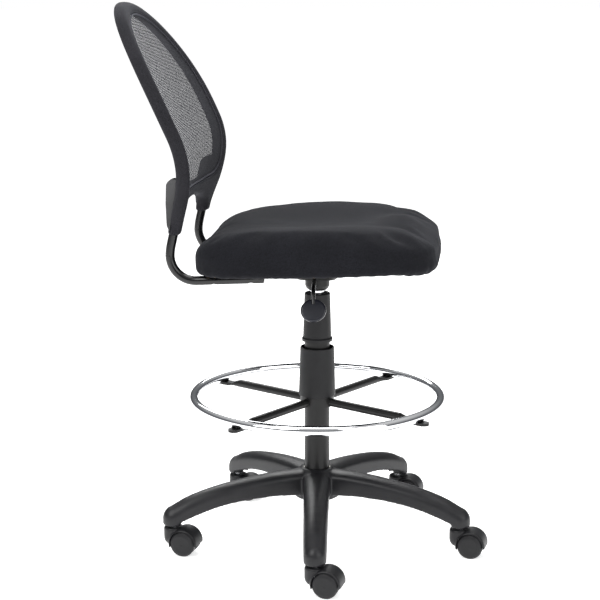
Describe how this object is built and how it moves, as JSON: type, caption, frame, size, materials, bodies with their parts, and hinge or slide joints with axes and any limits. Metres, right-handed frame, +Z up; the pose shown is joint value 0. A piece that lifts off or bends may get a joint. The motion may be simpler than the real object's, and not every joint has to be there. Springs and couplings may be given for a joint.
{
  "type": "drafting chair",
  "caption": "Armless drafting chair with an oval mesh back, contoured padded seat, gas lift, chromed foot ring and a star base on twin-wheel casters.",
  "frame": {"origin": "on the floor, on the axis of the gas lift column", "axes": "+Z up, the sitter faces -Y, the lift lever is on the -X side, which is the sitter's right"},
  "size_m": [0.6014, 0.7304, 1.065],
  "materials": {
    "base_nylon": "fine moulded grain, satin black",
    "sleeve_plastic": "satin dark grey",
    "caster_plastic": "satin black nylon",
    "wheel_plastic": "satin black nylon tread and cap",
    "paddle_plastic": "gloss black",
    "cover_plastic": "satin grey-black",
    "frame_plastic": "moulded, covered by the sleeve",
    "bush_plastic": "natural white",
    "black_paint": "gloss black enamel",
    "column_paint": "semi-gloss black enamel",
    "bright_chrome": "mirror chrome plate",
    "spring_steel": "ground steel",
    "zinc_steel": "zinc plated",
    "black_rubber": "matt",
    "plywood": "raw birch plywood",
    "seat_fabric": "black woven polyester",
    "rim_fabric": "black woven polyester sleeve",
    "back_net": "open knitted polyester net",
    "dust_cloth": "black non-woven"
  },
  "bodies": {
    "base": {"star_base": "base_nylon", "hub_insert": "zinc_steel", "stem_sleeves": "bush_plastic", "column_tube": "column_paint", "guide_bush": "bush_plastic", "column_sleeve": "sleeve_plastic", "thrust_bearing": "spring_steel"},
    "spring_rod": {"piston_rod": "spring_steel", "piston": "spring_steel", "bump_stop": "black_rubber", "rod_clip": "zinc_steel"},
    "seat": {"pressure_tube": "bright_chrome", "rod_guide": "bush_plastic", "valve_body": "bush_plastic", "seat_hub": "column_paint", "seat_plate": "column_paint", "lever_ears": "column_paint", "seat_board": "plywood", "seat_cushion": "seat_fabric", "dust_cover": "dust_cloth", "plate_bolts": "zinc_steel", "bar_bolts": "zinc_steel", "tee_nuts": "zinc_steel", "back_bar_right": "black_paint", "back_bar_left": "black_paint", "back_frame": "frame_plastic", "back_rim_cover": "rim_fabric", "back_mesh": "back_net", "rear_cover_right": "cover_plastic", "rear_cover_left": "cover_plastic"},
    "valve_pin": {"valve_pin": "spring_steel"},
    "lever": {"lever_rod": "black_paint", "lever_pin": "zinc_steel", "lever_paddle": "paddle_plastic"},
    "foot_ring": {"foot_ring_tube": "bright_chrome", "ring_spider": "column_paint", "ring_collet": "bush_plastic", "ring_screws": "zinc_steel"},
    "ring_collar": {"lock_collar": "sleeve_plastic"},
    "caster_1": {"caster_1_hood": "caster_plastic", "caster_1_pins": "spring_steel"},
    "caster_1_wheel_a": {"caster_1_wheel_a": "wheel_plastic"},
    "caster_1_wheel_b": {"caster_1_wheel_b": "wheel_plastic"},
    "caster_2": {"caster_2_hood": "caster_plastic", "caster_2_pins": "spring_steel"},
    "caster_2_wheel_a": {"caster_2_wheel_a": "wheel_plastic"},
    "caster_2_wheel_b": {"caster_2_wheel_b": "wheel_plastic"},
    "caster_3": {"caster_3_hood": "caster_plastic", "caster_3_pins": "spring_steel"},
    "caster_3_wheel_a": {"caster_3_wheel_a": "wheel_plastic"},
    "caster_3_wheel_b": {"caster_3_wheel_b": "wheel_plastic"},
    "caster_4": {"caster_4_hood": "caster_plastic", "caster_4_pins": "spring_steel"},
    "caster_4_wheel_a": {"caster_4_wheel_a": "wheel_plastic"},
    "caster_4_wheel_b": {"caster_4_wheel_b": "wheel_plastic"},
    "caster_5": {"caster_5_hood": "caster_plastic", "caster_5_pins": "spring_steel"},
    "caster_5_wheel_a": {"caster_5_wheel_a": "wheel_plastic"},
    "caster_5_wheel_b": {"caster_5_wheel_b": "wheel_plastic"}
  },
  "joints": [
    {"name": "seat_swivel", "type": "hinge", "parent": "base", "child": "spring_rod", "pos_m": [0, 0, 0.093], "axis": [0, 0, 1], "continuous": true},
    {"name": "seat_lift", "type": "slide", "parent": "spring_rod", "child": "seat", "axis": [0, 0, 1], "range_m": [0, 0.2]},
    {"name": "lever_lift", "type": "hinge", "parent": "seat", "child": "lever", "pos_m": [-0.026, 0, 0.552], "axis": [0, 1, 0], "range_deg": [0, 6], "stiffness_Nm_per_rad": 2},
    {"name": "valve_press", "type": "slide", "parent": "seat", "child": "valve_pin", "axis": [0, 0, 1], "range_m": [-0.0028, 0]},
    {"name": "ring_height", "type": "slide", "parent": "base", "child": "foot_ring", "axis": [0, 0, 1], "range_m": [-0.12, 0.045]},
    {"name": "ring_lock", "type": "hinge", "parent": "foot_ring", "child": "ring_collar", "pos_m": [0, 0, 0.35], "axis": [0, 0, 1], "range_deg": [0, 60]},
    {"name": "caster_1_swivel", "type": "hinge", "parent": "base", "child": "caster_1", "pos_m": [-0.29394, -0.02494, 0.07], "axis": [0, 0, 1], "continuous": true},
    {"name": "caster_1_roll_a", "type": "hinge", "parent": "caster_1", "child": "caster_1_wheel_a", "pos_m": [-0.29853, -0.04901, 0.025], "axis": [0.9823, -0.1874, 0], "continuous": true},
    {"name": "caster_1_roll_b", "type": "hinge", "parent": "caster_1", "child": "caster_1_wheel_b", "pos_m": [-0.29853, -0.04901, 0.025], "axis": [0.9823, -0.1874, 0], "continuous": true},
    {"name": "caster_2_swivel", "type": "hinge", "parent": "base", "child": "caster_2", "pos_m": [-0.06711, -0.28726, 0.07], "axis": [0, 0, 1], "continuous": true},
    {"name": "caster_2_roll_a", "type": "hinge", "parent": "caster_2", "child": "caster_2_wheel_a", "pos_m": [-0.0717, -0.31133, 0.025], "axis": [0.9823, -0.1874, 0], "continuous": true},
    {"name": "caster_2_roll_b", "type": "hinge", "parent": "caster_2", "child": "caster_2_wheel_b", "pos_m": [-0.0717, -0.31133, 0.025], "axis": [0.9823, -0.1874, 0], "continuous": true},
    {"name": "caster_3_swivel", "type": "hinge", "parent": "base", "child": "caster_3", "pos_m": [0.25247, -0.1526, 0.07], "axis": [0, 0, 1], "continuous": true},
    {"name": "caster_3_roll_a", "type": "hinge", "parent": "caster_3", "child": "caster_3_wheel_a", "pos_m": [0.24788, -0.17666, 0.025], "axis": [0.9823, -0.1874, 0], "continuous": true},
    {"name": "caster_3_roll_b", "type": "hinge", "parent": "caster_3", "child": "caster_3_wheel_b", "pos_m": [0.24788, -0.17666, 0.025], "axis": [0.9823, -0.1874, 0], "continuous": true},
    {"name": "caster_4_swivel", "type": "hinge", "parent": "base", "child": "caster_4", "pos_m": [0.22315, 0.19295, 0.07], "axis": [0, 0, 1], "continuous": true},
    {"name": "caster_4_roll_a", "type": "hinge", "parent": "caster_4", "child": "caster_4_wheel_a", "pos_m": [0.21855, 0.16889, 0.025], "axis": [0.9823, -0.1874, 0], "continuous": true},
    {"name": "caster_4_roll_b", "type": "hinge", "parent": "caster_4", "child": "caster_4_wheel_b", "pos_m": [0.21855, 0.16889, 0.025], "axis": [0.9823, -0.1874, 0], "continuous": true},
    {"name": "caster_5_swivel", "type": "hinge", "parent": "base", "child": "caster_5", "pos_m": [-0.11455, 0.27185, 0.07], "axis": [0, 0, 1], "continuous": true},
    {"name": "caster_5_roll_a", "type": "hinge", "parent": "caster_5", "child": "caster_5_wheel_a", "pos_m": [-0.11915, 0.24778, 0.025], "axis": [0.9823, -0.1874, 0], "continuous": true},
    {"name": "caster_5_roll_b", "type": "hinge", "parent": "caster_5", "child": "caster_5_wheel_b", "pos_m": [-0.11915, 0.24778, 0.025], "axis": [0.9823, -0.1874, 0], "continuous": true}
  ],
  "couplings": [
    {"joint": "valve_press", "follows": "lever_lift", "m_per_rad": -0.026}
  ]
}
